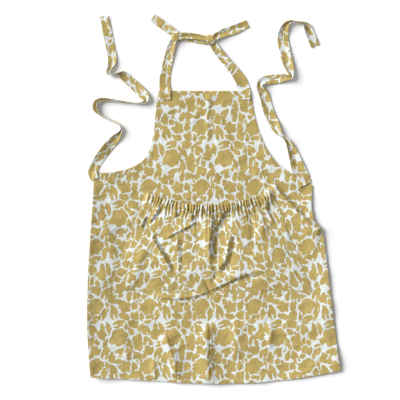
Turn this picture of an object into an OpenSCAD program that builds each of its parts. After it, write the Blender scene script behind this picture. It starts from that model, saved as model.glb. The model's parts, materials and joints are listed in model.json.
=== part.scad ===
// A cotton-linen bib apron with a gathered pocket, two neck ties knotted
// into a loop and two waist ties, lying flat on a table.
// Millimetres, +Z up from the table, +Y towards the neck.

/* [Bib and skirt] */
// Width of the bib along its top edge
bib_w = 265; // [240:5:290]
// Distance from the table's centre line to the bib's top edge
bib_top_y = 316; // [300:1:330]
// Thickness of one layer of the cloth
fabric_t = 0.8; // [0.6:0.1:1.2]
// Thickness of a double-turned hem under the cloth
hem_t = 1; // [0.8:0.1:1.6]
// Width of the facing behind the bib's top edge
facing_w = 30; // [20:1:40]
// Width of the hems at the armholes and the sides
side_hem_w = 10; // [8:1:16]
// Width of the bottom hem
bottom_hem_w = 20; // [15:1:30]

/* [Pocket] */
// Height of the pocket's panel above the cloth at its mouth
pocket_rise = 10; // [8:0.5:12]
// Width of the casing that holds the elastic
casing_w = 17; // [14:1:22]
// Thickness of the casing over the elastic
casing_t = 3; // [2.8:0.1:4]
// Width of the elastic
elastic_w = 10; // [6:1:11]
// Sag of the mouth below a straight line between its ends
mouth_sag = 41; // [30:1:50]
// Width of the pocket's stitched side edges
pocket_edge_w = 8; // [6:1:12]

/* [Ties] */
// Width of every tie
tie_w = 26; // [22:1:30]
// Thickness of a tie, which is a folded and stitched strip
tie_t = 1.6; // [1.4:0.1:2]
// Width of a tie where it lies creased along its middle
crease_w = 9; // [7:1:12]
// Height of a tie where it lies creased along its middle
crease_h = 7; // [5:1:9]
// Length of each neck tie's end that is stitched on the bib
sewn_end = 26; // [20:1:30]
// Height of the knots behind the neck
knot_h = 8; // [7:1:10]

/* [Hidden] */

ochre = [0.80, 0.68, 0.36];
deep_ochre = [0.70, 0.58, 0.30];
cream = [0.92, 0.92, 0.88];
thread = [0.86, 0.78, 0.55];

// Levels above the table
body_top = hem_t + fabric_t;
seam_gap = 0.4;

// Thread: height and width of a row, and how far it is from a hem's inner edge
thread_h = 0.3;
thread_w = 0.8;
stitch_inset = 2;

// Gap between the facing's end and the hem beside it
facing_gap = 6;

// Stretches of each edge that a hem, and then its stitching, runs along
left_armhole_hemmed = [0.06, 1];
right_armhole_hemmed = [0, 0.95];
left_side_hemmed = [0.09, 0.95];
right_side_hemmed = [0.1, 0.95];
left_armhole_sewn = [0.2, 0.88];
right_armhole_sewn = [0.12, 0.8];
left_side_sewn = [0.1, 0.9];
right_side_sewn = [0.12, 0.94];
hem_sewn = [0.06, 0.94];
facing_sewn_inset = 45;

// Turns a point and its neighbours into the unit vector along a path
function along(path, i) =
    let (a = path[max(i - 1, 0)], b = path[min(i + 1, len(path) - 1)])
    (b - a) / norm(b - a);

// The path moved sideways by d, to its left where d is positive
function beside(path, d) =
    [for (i = [0 : len(path) - 1]) let (u = along(path, i)) path[i] + d * [-u[1], u[0]]];

function backwards(path) = [for (i = [len(path) - 1 : -1 : 0]) path[i]];

// A cubic curve from a to d that leaves towards b and arrives from c
function bend(a, b, c, d, steps = 16) = [
    for (i = [0 : steps]) let (t = i / steps, s = 1 - t)
        a * s * s * s + 3 * b * t * s * s + 3 * c * t * t * s + d * t * t * t
];

// One stretch of a smooth curve through the points p[i] and p[i + 1]
function stretch(p, i, t) =
    let (a = p[max(i - 1, 0)], b = p[i], c = p[i + 1], d = p[min(i + 2, len(p) - 1)])
    0.5 * (2 * b + (c - a) * t + (2 * a - 5 * b + 4 * c - d) * t * t
        + (3 * b - a - 3 * c + d) * t * t * t);

// A smooth curve through all the points
function through(p, steps = 4) = [
    for (i = [0 : len(p) - 2], k = [0 : steps - 1]) stretch(p, i, k / steps),
    p[len(p) - 1]
];

// A path's points from one share of its length to another
function part_of(path, share) =
    let (last = len(path) - 1)
    [for (i = [round(share[0] * last) : round(share[1] * last)]) path[i]];

// Outline of the apron's body, clockwise from the bib's top left corner
bib_left = [-bib_w * 0.6, bib_top_y];
bib_right = [bib_w * 0.4, bib_top_y];
right_waist = [287, 41];
left_waist = [-346, 77];
hem_left = [-356, -514];
hem_right = [366, -494];
waist_step = [313, -86];
right_armhole = concat(
    bend(bib_right, [125, 190], [150, 110], [232, 74]), [right_waist]);
right_side = concat(
    bend(right_waist, [279, 5], [282, -30], [290, -60], 6),
    bend(waist_step, [327, -160], [338, -300], hem_right, 10));
hem = bend(hem_right, [60, -562], [-150, -519], hem_left);
left_side = bend(hem_left, [-382, -300], [-352, -90], left_waist, 12);
left_armhole = bend(left_waist, [-140, 82], [-190, 170], bib_left);
outline = concat([bib_left], right_armhole, right_side, hem, left_side, left_armhole);

// The pocket, seen from above
mouth_left = [-197, 23];
mouth_right = [168, 30];
pocket_low_left = [-305, -262];
pocket_low_right = [285, -262];
pocket_hinge_y = -264;
hinge_z = body_top + 0.3;
panel_share = 0.985; // of the mouth's width, that the panel reaches
panel_gap = 0.2; // between the casing and the panel below it
panel_steps = 12; // in the panel's top edge, each side of the middle
casing_stitch_gap = 3; // from the casing to the row of thread under it
casing_stitch_steps = 20;
elastic_play = 0.4; // room round the elastic in its casing
edge_shift = 9; // of a side edge, inwards from the pocket's corner
edge_cut_low = 4; // of a side edge, at its low end
edge_cut_high = 20; // of a side edge, at its high end
edge_slack = 0.92; // of the height under the pocket's cloth
tack = [4, 14, 0.5]; // a bar tack
tilt = atan(pocket_rise / -pocket_hinge_y);
mouth_chord = norm(mouth_right - mouth_left);
mouth_r = (mouth_chord * mouth_chord / 4 + mouth_sag * mouth_sag) / (2 * mouth_sag);
mouth_turn = atan2(mouth_right[1] - mouth_left[1], mouth_right[0] - mouth_left[0]);
mouth_half = asin(mouth_chord / 2 / mouth_r);
mouth_mid = (mouth_left + mouth_right) / 2;
mouth_centre = mouth_mid
    + (mouth_r - mouth_sag) * [-sin(mouth_turn), cos(mouth_turn)];

function on_mouth(r, share) =
    let (a = -90 + mouth_turn + mouth_half * share)
    mouth_centre + r * [cos(a), sin(a)];

// Middle lines of the ties, chosen points in millimetres
left_tie_low = [[-353, 86], [-339, 112], [-310, 149], [-284, 181], [-272, 204]];
left_tie_creased = [
    [-274, 200], [-278, 218], [-296, 233], [-320, 239], [-332, 256],
    [-334, 277], [-320, 289], [-288, 287], [-246, 281], [-196, 283]
];
left_tie_turned = [[-188, 289], [-232, 329], [-280, 375]];
left_tie_tail = [[-292, 364], [-293, 400], [-297, 436], [-305, 474], [-319, 536]];
right_tie_low = [[250, 78], [233, 117], [214, 157], [207, 172]];
right_tie_strip = [[190, 186], [170, 228], [154, 268], [146, 318], [142, 338]];
right_tie_creased = [[208, 166], [202, 184], [186, 194]];
right_tie_short = [[140, 336], [176, 348], [224, 355]];
right_tie_long = [[228, 346], [220, 376], [210, 410], [202, 446], [202, 480], [212, 506]];
right_tie_peak = [[206, 506], [222, 518], [248, 515], [268, 508]];
right_tie_tail = [[265, 514], [279, 478], [296, 446]];
left_neck = [
    [-142, 317], [-142, 327], [-142, 351], [-134, 388], [-125, 432], [-117, 460], [-98, 474],
    [-63, 474], [-31, 466], [-6, 466], [14, 478], [52, 493], [96, 511]
];
right_neck = [
    [87, 317], [87, 327], [84, 340], [66, 366], [38, 396], [8, 434], [-16, 460], [-40, 474],
    [-68, 480], [-112, 490], [-144, 501], [-176, 527]
];
left_knot = [-98, 477];
right_knot = [-14, 464];
knot_r = 13;
knot_top_r = 10;
tail_lean = 8; // degrees that the left waist tie's tip leans from straight across

// The ends of the waist ties that are stitched to the body, and their boxes of
// stitching: place, then width and height
left_waist_end = [[-345, 74], [-332, 74], [-338, 48], [-345, 52]];
right_waist_end = [[236, 68], [284, 42], [284, 38], [250, 38]];
left_waist_box = [[-338.5, 64], [8, 14]];
right_waist_box = [[262, 47], [20, 9]];
neck_box = [20, 20];

// The origin is under the middle of the whole object
all_x = [for (p = concat(left_side, hem)) p[0]];
all_y = [for (p = hem) p[1]];
tip = left_tie_tail[len(left_tie_tail) - 1] + [0, tie_w / 2 * sin(tail_lean)];
origin = [(min(all_x) + max(all_x)) / 2, (min(all_y) + tip[1]) / 2];

module placed() {
    translate([-origin[0], -origin[1], 0]) children();
}

// A strip that follows a path, with its low face at level z
module strip(path, w, z, h) {
    translate([0, 0, z])
        linear_extrude(h)
            polygon(concat(beside(path, w / 2), backwards(beside(path, -w / 2))));
}

// A strip that lies to the right of a path, seen along it
module band(path, w, z, h, inset = 0) {
    translate([0, 0, z])
        linear_extrude(h)
            polygon(concat(beside(path, -inset), backwards(beside(path, -inset - w))));
}

module body_panel() color(ochre) placed() {
    translate([0, 0, hem_t]) linear_extrude(fabric_t) polygon(outline);
}

module bib_facing() color(deep_ochre) placed() {
    from_side = [side_hem_w + facing_gap, 0];
    band([bib_left + from_side, bib_right - from_side], facing_w, 0, hem_t);
}

module left_armhole_hem() color(deep_ochre) placed() {
    band(part_of(left_armhole, left_armhole_hemmed), side_hem_w, 0, hem_t);
}

module right_armhole_hem() color(deep_ochre) placed() {
    band(part_of(right_armhole, right_armhole_hemmed), side_hem_w, 0, hem_t);
}

module left_side_hem() color(deep_ochre) placed() {
    band(part_of(left_side, left_side_hemmed), side_hem_w, 0, hem_t);
}

module right_side_hem() color(deep_ochre) placed() {
    band(part_of(right_side, right_side_hemmed), side_hem_w, 0, hem_t);
}

module bottom_hem() color(deep_ochre) placed() {
    band(hem, bottom_hem_w, 0, hem_t);
}

// Everything in the pocket is drawn flat, then tilted about its bottom seam
module on_pocket() {
    placed() translate([0, pocket_hinge_y, hinge_z]) rotate([tilt, 0, 0])
        translate([0, -pocket_hinge_y, 0]) children();
}

module pocket_panel() color(ochre) on_pocket() {
    top = [
        for (k = [-panel_steps : panel_steps])
            on_mouth(mouth_r + casing_w + panel_gap, k / panel_steps * panel_share)
    ];
    linear_extrude(fabric_t) polygon(concat(top, [pocket_low_right, pocket_low_left]));
}

// The ring segment of the mouth, with a rectangular section
module mouth_ring(inset, from_z, h, share) {
    translate(mouth_centre) rotate(-90 + mouth_turn - mouth_half * share)
        rotate_extrude(angle = 2 * mouth_half * share, $fn = 180)
            translate([mouth_r + inset, from_z]) square([casing_w - 2 * inset, h]);
}

module pocket_mouth_casing() color(deep_ochre) on_pocket() {
    difference() {
        mouth_ring(0, 0, casing_t, 1);
        mouth_ring(
            (casing_w - elastic_w) / 2 - elastic_play, fabric_t, casing_t - 2 * fabric_t, 0.98);
    }
}

module pocket_elastic() color(cream) on_pocket() {
    inset = (casing_w - elastic_w) / 2;
    mouth_ring(
        inset, fabric_t + elastic_play / 2, casing_t - 2 * fabric_t - elastic_play, 0.97);
}

// A side edge of the pocket, as high as the pocket's cloth stands there
module rising_edge(low, high) {
    run = high - low;
    angle = atan2(run[1], run[0]);
    rise = (high[1] - pocket_hinge_y) * tan(tilt) + hinge_z - body_top - seam_gap;
    start = (low[1] - pocket_hinge_y) * tan(tilt) + hinge_z - body_top - 0.1;
    translate([low[0], low[1], body_top]) rotate([90, 0, angle])
        linear_extrude(pocket_edge_w, center = true)
            polygon([
                [edge_cut_low, 0], [norm(run) - edge_cut_high, 0],
                [norm(run) - edge_cut_high, rise * edge_slack], [edge_cut_low, start]]);
}

module pocket_left_edge() color(ochre) placed() {
    rising_edge(pocket_low_left + [edge_shift, 0], mouth_left + [edge_shift, 0]);
}

module pocket_right_edge() color(ochre) placed() {
    rising_edge(pocket_low_right - [edge_shift, 0], mouth_right - [edge_shift, 0]);
}

module pocket_bottom_edge() color(deep_ochre) placed() {
    run = [[pocket_low_left[0], pocket_hinge_y - 1], [pocket_low_right[0], pocket_hinge_y - 1]];
    band(run, pocket_edge_w, body_top, fabric_t);
}

// The end of a neck tie, stitched flat on the front of the bib
module neck_tie_end(x) {
    translate([x - tie_w / 2, bib_top_y - sewn_end, body_top]) cube([tie_w, sewn_end, tie_t]);
}

module left_neck_tie_end() color(ochre) placed() {
    neck_tie_end(left_neck[0][0]);
}

module right_neck_tie_end() color(ochre) placed() {
    neck_tie_end(right_neck[0][0]);
}

module left_neck_tie() color(ochre) placed() {
    strip(through(left_neck, 3), tie_w, 0, tie_t);
}

// This tie makes the turns of both knots
module right_neck_tie() color(ochre) placed() {
    strip(through(right_neck, 3), tie_w, tie_t, tie_t);
    for (k = [left_knot, right_knot])
        translate([k[0], k[1], 2 * tie_t])
            cylinder(h = knot_h - 2 * tie_t, r1 = knot_r, r2 = knot_top_r, $fn = 48);
}

module left_waist_tie_end() color(ochre) placed() {
    translate([0, 0, body_top]) linear_extrude(tie_t) polygon(left_waist_end);
}

module right_waist_tie_end() color(ochre) placed() {
    translate([0, 0, body_top]) linear_extrude(tie_t) polygon(right_waist_end);
}

module left_waist_tie() color(ochre) placed() {
    strip(through(left_tie_low), tie_w, 0, tie_t);
    strip(through(left_tie_creased), crease_w, 0, crease_h);
    strip(left_tie_turned, tie_w, 0, tie_t);
    strip(through(left_tie_tail), tie_w, 0, tie_t);
}

module right_waist_tie() color(ochre) placed() {
    strip(through(right_tie_low), tie_w, 0, tie_t);
    strip(through(right_tie_creased), crease_w, 0, crease_h);
    strip(through(right_tie_strip), tie_w, 0, tie_t);
    strip(right_tie_short, tie_w * 0.8, 0, tie_t);
    strip(through(right_tie_long), tie_w, 0, tie_t);
    strip(through(right_tie_peak), crease_w, 0, crease_h);
    strip(through(right_tie_tail), tie_w, 0, tie_t);
}

// Rows of thread, each drawn as one low rib
module thread_row(path, inset) {
    band(path, thread_w, body_top, thread_h, inset);
}

module edge_stitching() color(thread) placed() {
    thread_row(part_of(left_armhole, left_armhole_sewn), side_hem_w - stitch_inset);
    thread_row(part_of(right_armhole, right_armhole_sewn), side_hem_w - stitch_inset);
    thread_row(part_of(left_side, left_side_sewn), side_hem_w - stitch_inset);
    thread_row(part_of(right_side, right_side_sewn), side_hem_w - stitch_inset);
    thread_row(part_of(hem, hem_sewn), bottom_hem_w - stitch_inset);
    from_side = [facing_sewn_inset, 0];
    thread_row([bib_left + from_side, bib_right - from_side], facing_w - stitch_inset);
}

module pocket_stitching() color(thread) on_pocket() {
    steps = casing_stitch_steps;
    arc = [
        for (k = [-steps : steps])
            on_mouth(mouth_r + casing_w + casing_stitch_gap, k / steps * 0.95)
    ];
    translate([0, 0, fabric_t - body_top]) thread_row(arc, 0);
}

module pocket_bar_tacks() color(thread) placed() {
    for (x = [pocket_low_left[0] - 6, pocket_low_right[0] + 2])
        translate([x, pocket_hinge_y - 2, body_top]) cube(tack);
}

// A stitched box with a cross in it, of a width and a height
module box_stitch(size) {
    w = size[0];
    h = size[1];
    linear_extrude(thread_h) {
        difference() {
            square(size, center = true);
            square([w - 2 * thread_w, h - 2 * thread_w], center = true);
        }
        for (s = [-1, 1])
            rotate(s * atan2(h - thread_w, w - thread_w))
                square([norm(size) - 2 * thread_w, thread_w], center = true);
    }
}

module tie_stitching() color(thread) placed() {
    for (p = [left_neck[0], right_neck[0]])
        translate([p[0], bib_top_y - sewn_end / 2, body_top + tie_t]) box_stitch(neck_box);
    for (sewn = [left_waist_box, right_waist_box])
        translate([sewn[0][0], sewn[0][1], body_top + tie_t]) box_stitch(sewn[1]);
}

body_panel();
bib_facing();
left_armhole_hem();
right_armhole_hem();
left_side_hem();
right_side_hem();
bottom_hem();
pocket_panel();
pocket_mouth_casing();
pocket_elastic();
pocket_left_edge();
pocket_right_edge();
pocket_bottom_edge();
left_neck_tie_end();
right_neck_tie_end();
left_neck_tie();
right_neck_tie();
left_waist_tie_end();
right_waist_tie_end();
left_waist_tie();
right_waist_tie();
edge_stitching();
pocket_stitching();
pocket_bar_tacks();
tie_stitching();
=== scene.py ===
"""A bib apron of printed cotton, laid flat: a gathered pocket, two neck ties
knotted into a loop, and two waist ties.

The plan of the apron is in millimetres, as the CAD model's is, with the
origin under the middle of the whole object. Everything is turned into metres
and into the frame's own coordinates when a mesh is made.
"""

import json
import math
import random

import bpy
import numpy as np
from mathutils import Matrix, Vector, geometry


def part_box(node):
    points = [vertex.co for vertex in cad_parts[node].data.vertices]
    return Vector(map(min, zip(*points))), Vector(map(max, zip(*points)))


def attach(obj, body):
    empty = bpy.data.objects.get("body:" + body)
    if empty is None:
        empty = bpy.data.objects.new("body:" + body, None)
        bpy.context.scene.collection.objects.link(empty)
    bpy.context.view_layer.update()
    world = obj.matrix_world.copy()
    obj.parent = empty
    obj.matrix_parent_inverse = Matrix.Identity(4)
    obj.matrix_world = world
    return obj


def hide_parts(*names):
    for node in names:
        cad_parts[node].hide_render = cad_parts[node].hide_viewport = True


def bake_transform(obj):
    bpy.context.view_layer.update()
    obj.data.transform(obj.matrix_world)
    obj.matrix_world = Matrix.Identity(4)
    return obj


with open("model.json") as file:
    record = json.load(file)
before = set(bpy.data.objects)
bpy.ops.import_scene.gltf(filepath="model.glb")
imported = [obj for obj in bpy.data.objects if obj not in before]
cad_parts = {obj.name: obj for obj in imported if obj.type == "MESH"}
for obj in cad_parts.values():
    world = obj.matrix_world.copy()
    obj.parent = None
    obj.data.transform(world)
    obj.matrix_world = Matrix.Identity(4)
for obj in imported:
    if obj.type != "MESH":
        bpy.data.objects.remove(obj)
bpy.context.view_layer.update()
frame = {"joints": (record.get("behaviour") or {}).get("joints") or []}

MM = 0.001

# ---- the plan
BIB_WIDTH = 265
BIB_TOP = 316
RIGHT_WAIST = (287, 41)
LEFT_WAIST = (-346, 77)
HEM_LEFT = (-356, -514)
HEM_RIGHT = (366, -494)
WAIST_STEP = (313, -86)  # where the skirt steps out below the right waist
BIB_LEFT_SHARE = 0.6  # how much of the bib's width is left of the origin

CLOTH = 0.8  # thickness of one layer
HEM = 1.0  # thickness of a double-turned hem under the cloth
SIDE_HEM_WIDTH = 10
BOTTOM_HEM_WIDTH = 20
FACING_WIDTH = 30

MOUTH_LEFT = (-197, 23)
MOUTH_RIGHT = (168, 30)
MOUTH_SAG = 41
CASING = 17  # width of the casing at the pocket's mouth
POCKET_LOW = -264
POCKET_LOW_LEFT = (-305, POCKET_LOW)
POCKET_LOW_RIGHT = (285, POCKET_LOW)

TIE = 1.6  # thickness of a tie


# ---- plan curves
def bend(a, b, c, d, steps=24):
    """A cubic curve from a to d that leaves towards b and arrives from c."""
    t = np.linspace(0, 1, steps + 1)[:, None]
    a, b, c, d = (np.array(p, float) for p in (a, b, c, d))
    return a * (1 - t) ** 3 + 3 * b * t * (1 - t) ** 2 + 3 * c * t**2 * (1 - t) + d * t**3


def along(path):
    """How far along it each point of a path lies."""
    gaps = np.linalg.norm(np.diff(path[:, :2], axis=0), axis=1)
    return np.concatenate([[0], np.cumsum(gaps)])


def even(path, step):
    """The path again, with its points about a step apart."""
    path = np.array(path, float)
    reach = along(path)
    count = max(2, round(reach[-1] / step) + 1)
    places = np.linspace(0, reach[-1], count)
    return np.stack([np.interp(places, reach, column) for column in path.T], axis=1)


def through(points, step):
    """A smooth curve through all the points, each a row of any length."""
    p = np.array(points, float)
    p = np.concatenate([2 * p[:1] - p[1:2], p, 2 * p[-1:] - p[-2:-1]])
    t = np.linspace(0, 1, 12, endpoint=False)[:, None]
    parts = []
    for a, b, c, d in zip(p, p[1:], p[2:], p[3:]):
        curve = 2 * b + (c - a) * t + (2 * a - 5 * b + 4 * c - d) * t**2
        parts.append((curve + (3 * b - a - 3 * c + d) * t**3) / 2)
    return even(np.concatenate(parts + [p[-2:-1]]), step)


def across(path):
    """The unit normals to the left of a path."""
    run = np.gradient(path[:, :2], axis=0)
    run = run / np.linalg.norm(run, axis=1)[:, None]
    return np.stack([-run[:, 1], run[:, 0]], axis=1)


def to_path(points, path):
    """Each point's distance from a path, the share of the path's length where
    it is nearest, and the side that it is on: 1 on the left, -1 on the right."""
    path = np.array(path, float)
    reach = along(path)
    best = np.full(len(points), 1e9)
    share = np.zeros(len(points))
    side = np.ones(len(points))
    for start, end, begun, ended in zip(path, path[1:], reach, reach[1:]):
        run = end - start
        t = np.clip((points - start) @ run / (run @ run), 0, 1)
        off = points - start - t[:, None] * run
        gap = np.hypot(off[:, 0], off[:, 1])
        nearer = gap < best
        best = np.where(nearer, gap, best)
        share = np.where(nearer, (begun + t * (ended - begun)) / reach[-1], share)
        turned = run[0] * off[:, 1] - run[1] * off[:, 0]
        side = np.where(nearer, np.where(turned >= 0, 1, -1), side)
    return best, share, side


def smooth(value, low, high):
    """0 below low and 1 above high, with a soft turn between them."""
    t = np.clip((value - low) / (high - low), 0, 1)
    return t * t * (3 - 2 * t)


BIB_LEFT = (-BIB_WIDTH * BIB_LEFT_SHARE, BIB_TOP)
BIB_RIGHT = (BIB_WIDTH * (1 - BIB_LEFT_SHARE), BIB_TOP)
right_armhole = np.concatenate(
    [bend(BIB_RIGHT, (125, 190), (150, 110), (232, 74)), [RIGHT_WAIST]])
right_side = np.concatenate([
    bend(RIGHT_WAIST, (279, 5), (282, -30), (290, -60)),
    bend(WAIST_STEP, (327, -160), (338, -300), HEM_RIGHT)])
bottom = bend(HEM_RIGHT, (60, -562), (-150, -519), HEM_LEFT)
left_side = bend(HEM_LEFT, (-382, -300), (-352, -90), LEFT_WAIST)
left_armhole = bend(LEFT_WAIST, (-140, 82), (-190, 170), BIB_LEFT)
bib_top = np.array([BIB_LEFT, BIB_RIGHT], float)
outline = np.concatenate(
    [bib_top, right_armhole, right_side, bottom, left_side, left_armhole])
closed_outline = np.concatenate([outline, outline[:1]])

panel_low, panel_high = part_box("body_panel")
ORIGIN = np.array([
    outline[:, 0].min() - panel_low.x / MM,
    BIB_TOP - panel_high.y / MM])


def placed(points):
    """Plan points, in millimetres, as metres in the frame."""
    points = np.array(points, float)
    points[:, :2] -= ORIGIN
    return points * MM


# ---- how the cloth is lying
LINE_STEP = 4  # between the points of a fold's line


def waves(points, seed, count, length, height):
    """Low, smooth, irregular waves of about one length."""
    rng = random.Random(seed)
    z = np.zeros(len(points))
    for _ in range(count):
        turn = rng.uniform(0, math.pi)
        pitch = length * rng.uniform(0.7, 1.5)
        phase = rng.uniform(0, 2 * math.pi)
        run = points @ np.array([math.cos(turn), math.sin(turn)])
        z += np.sin(2 * math.pi * run / pitch + phase)
    return z * height / math.sqrt(count)


def near_line(points, line, begin, end):
    """Each point's distance from the line of a fold, the side that it is on,
    and how strong the fold is there: it fades in over the line's first share
    and out over its last."""
    gap, share, side = to_path(points, through(line, LINE_STEP))
    return gap, side, smooth(share, 0, begin) * smooth(1 - share, 0, end)


def fold(points, line, width, height, ends=0.2):
    """A soft ridge along a line, or a valley where height is negative."""
    gap, _, fade = near_line(points, line, ends, ends)
    return height * fade * np.exp(-((gap / width) ** 2))


def step(points, line, height, run, ends, sharp):
    """Cloth with a crest along a line: it drops sharply to the line's right,
    and slopes down evenly over a run to its left."""
    gap, side, fade = near_line(points, line, ends, ends)
    slope = np.clip(1 - gap / run, 0, 1) ** 1.3
    return height * fade * slope * smooth(gap * side, -sharp, sharp)


def tuck(points, line, height, slope, back, ends=0.2, sharp=0.6):
    """Cloth that lies over itself along a line: it is high on the line's left,
    and on its right it slopes down and goes under."""
    gap, side, fade = near_line(points, line, ends, ends)
    over = np.exp(-gap / back)
    under = 0.85 * gap / slope * np.exp(1 - gap / slope)
    left = smooth(gap * side, -sharp, sharp)
    return height * fade * (left * over + (1 - left) * under)


def crest(points, line, height, dip, run, back, begin=0.2, end=0.2):
    """A fold with a sharp crest: on the line's left it falls evenly over a run
    to a valley, and on its right it sinks away slowly."""
    gap, side, fade = near_line(points, line, begin, end)
    falling = height - (height + dip) * gap / run
    beyond = -dip * np.exp(-np.maximum(gap - run, 0) / run)
    left = np.where(gap < run, falling, beyond)
    return fade * np.where(side > 0, left, height * np.exp(-gap / back))


# Waves of the whole cloth: seed, count, length and height
BODY_WAVES = [(5, 9, 190, 2.2), (8, 9, 75, 0.8), (9, 10, 36, 0.32)]
POCKET_PRESS = 0.85  # how much of the body's waves the pocket presses flat
# The cloth that is dragged over itself from the side to the pocket's corner:
# its line, then its height, dip, run, back and the shares over which it fades
DRAG_FOLD = [(164, 49), (185, 26), (220, -11), (250, -45), (290, -79), (320, -90)]
DRAG_SHAPE = (10.5, 1.0, 14, 46, 0.1, 0.1)
# Where the skirt's cloth goes under itself: line, height, slope and back
SKIRT_TUCKS = [
    ([(-12, -346), (-9, -450), (-4, -548)], 10.0, 12, 18),
    ([(-136, -376), (-118, -438), (-106, -476), (-103, -528)], 8.0, 9, 15),
]
# Where the cloth hangs over itself under the pocket: its line and shape
UNDER_SAG = [(-12, -262), (-38, -272), (-70, -280), (-106, -284), (-142, -282), (-190, -270)]
UNDER_SHAPE = (6.5, 0, 8, 24, 0.06, 0.35)
# Soft folds of the body: line, width and height
BODY_FOLDS = [
    ([(-14, 312), (-18, 240), (-15, 160)], 8, 3.2),
    ([(-190, 80), (-60, 74), (60, 82), (160, 76)], 10, 2),
    ([(-174, -458), (-174, -490), (-173, -524)], 8, 3.4),
    ([(60, -330), (66, -400), (60, -470)], 16, 3.6),
    ([(158, -346), (164, -390), (160, -440)], 9, 4.2),
    ([(-250, -330), (-262, -400), (-250, -480)], 22, 3.6),
    ([(150, -340), (176, -356), (205, -352)], 20, -3.6),
    ([(-330, -60), (-300, -150), (-318, -260)], 30, 4.5),
    ([(-290, 40), (-235, -20), (-225, -90)], 22, 3.9),
    ([(100, 96), (150, 62), (200, 50), (262, 30)], 14, 4.8),
    ([(330, -180), (318, -300), (335, -430)], 22, 3.6),
]


# The edge of the skirt from the right waist round to the left
SKIRT_EDGE = even(np.concatenate([right_side[8:], bottom, left_side[:-3]]), 12)


def pocket_mask(points):
    """1 well inside the pocket's outline, 0 outside it."""
    shape = np.array([MOUTH_LEFT, MOUTH_RIGHT, POCKET_LOW_RIGHT, POCKET_LOW_LEFT], float)
    inside = np.ones(len(points))
    for a, b in zip(shape, np.roll(shape, -1, axis=0)):
        run = (b - a) / np.linalg.norm(b - a)
        gap = (points - a) @ np.array([run[1], -run[0]])
        inside = np.minimum(inside, smooth(gap, 0, 40))
    return inside


# How far the skirt's hems and its left side rise, and over how much cloth
HEM_RISE, HEM_REACH = 3.4, 26
LEFT_RISE, LEFT_REACH = 9.0, 150


def edge_lift(points):
    """The stiff hems of the skirt stand a little off the table, and its left
    side slopes up to its edge."""
    gap = to_path(points, SKIRT_EDGE)[0]
    wavy = 1 + 0.5 * np.clip(waves(points, 14, 6, 120, 1.0), -1, 1)
    hem = HEM_RISE * wavy * np.exp(-((gap / HEM_REACH) ** 1.5))
    side = to_path(points, even(left_side, 20))[0]
    return hem + LEFT_RISE * np.maximum(0, 1 - side / LEFT_REACH) ** 1.4


def drape(points):
    """Height of the body's upper face above the table."""
    points = np.asarray(points, float)[:, :2]
    z = sum(waves(points, *row) for row in BODY_WAVES)
    for row in BODY_FOLDS:
        z += fold(points, *row)
    z = z * (1 - POCKET_PRESS * pocket_mask(points))
    z = np.logaddexp(0, z + 1.0)  # never below the table, with no hard edge
    z += edge_lift(points)
    z += np.maximum(crest(points, DRAG_FOLD, *DRAG_SHAPE), 0)
    for row in SKIRT_TUCKS:
        z += tuck(points, *row)
    z += np.maximum(crest(points, UNDER_SAG, *UNDER_SHAPE), 0)
    return HEM + CLOTH + z


# ---- making a piece
SHARP = math.radians(60)  # an edge that turns by more than this looks sharp


def in_scene(name, data):
    """A new object in the scene."""
    made = bpy.data.objects.new(name, data)
    bpy.context.scene.collection.objects.link(made)
    return made


def piece(name, points, faces, cloth_map, material):
    """A mesh object from plan points; cloth_map gives each point's place on
    the flat cloth, in millimetres."""
    mesh = bpy.data.meshes.new(name)
    mesh.from_pydata(placed(points).tolist(), [], [list(f) for f in faces])
    mesh.validate()
    corners = np.zeros(len(mesh.loops), int)
    mesh.loops.foreach_get("vertex_index", corners)
    layer = mesh.uv_layers.new(name="cloth")
    layer.data.foreach_set("uv", (np.array(cloth_map, float)[corners] * MM).ravel())
    mesh.shade_smooth()
    mesh.set_sharp_from_angle(angle=SHARP)
    mesh.materials.append(material)
    return in_scene(name, mesh)


def grid_faces(rows, columns, around=False):
    """Quads of a grid of points, closed across its columns where around."""
    faces = []
    for r in range(rows - 1):
        here, above = r * columns, (r + 1) * columns
        for c in range(columns if around else columns - 1):
            d = (c + 1) % columns
            faces.append((here + c, here + d, above + d, above + c))
    return faces


def tube_faces(rings, around):
    """The faces of a tube of closed rings, and of its two ends."""
    faces = grid_faces(rings, around, around=True)
    faces.append(tuple(range(around)))
    faces.append(tuple((rings - 1) * around + k for k in reversed(range(around))))
    return [face[::-1] for face in faces]


def thicken(made, thickness):
    """Gives a sheet its thickness, below the face that is modelled."""
    shell = made.modifiers.new("thickness", "SOLIDIFY")
    shell.thickness = thickness * MM
    shell.offset = -1
    thin = made.data
    graph = bpy.context.evaluated_depsgraph_get()
    made.data = bpy.data.meshes.new_from_object(made.evaluated_get(graph))
    made.modifiers.clear()
    bpy.data.meshes.remove(thin)
    made.data.name = made.name
    made.data.set_sharp_from_angle(angle=SHARP)
    return made


def fill(loop, inner):
    """Triangles that fill a closed loop, through the points inside it."""
    corners = [Vector(p) for p in loop] + [Vector(p) for p in inner]
    edges = [(i, (i + 1) % len(loop)) for i in range(len(loop))]
    found = geometry.delaunay_2d_cdt(corners, edges, [], 1, 1e-4)
    return np.array([tuple(v) for v in found[0]]), found[2]


def inside(points, loop):
    """Which of the points lie in the closed loop."""
    hit = np.zeros(len(points), bool)
    for a, b in zip(loop, np.roll(loop, -1, axis=0)):
        if a[1] == b[1]:
            continue
        level = (a[1] > points[:, 1]) != (b[1] > points[:, 1])
        cross = a[0] + (points[:, 1] - a[1]) / (b[1] - a[1]) * (b[0] - a[0])
        hit ^= level & (points[:, 0] < cross)
    return hit


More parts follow.
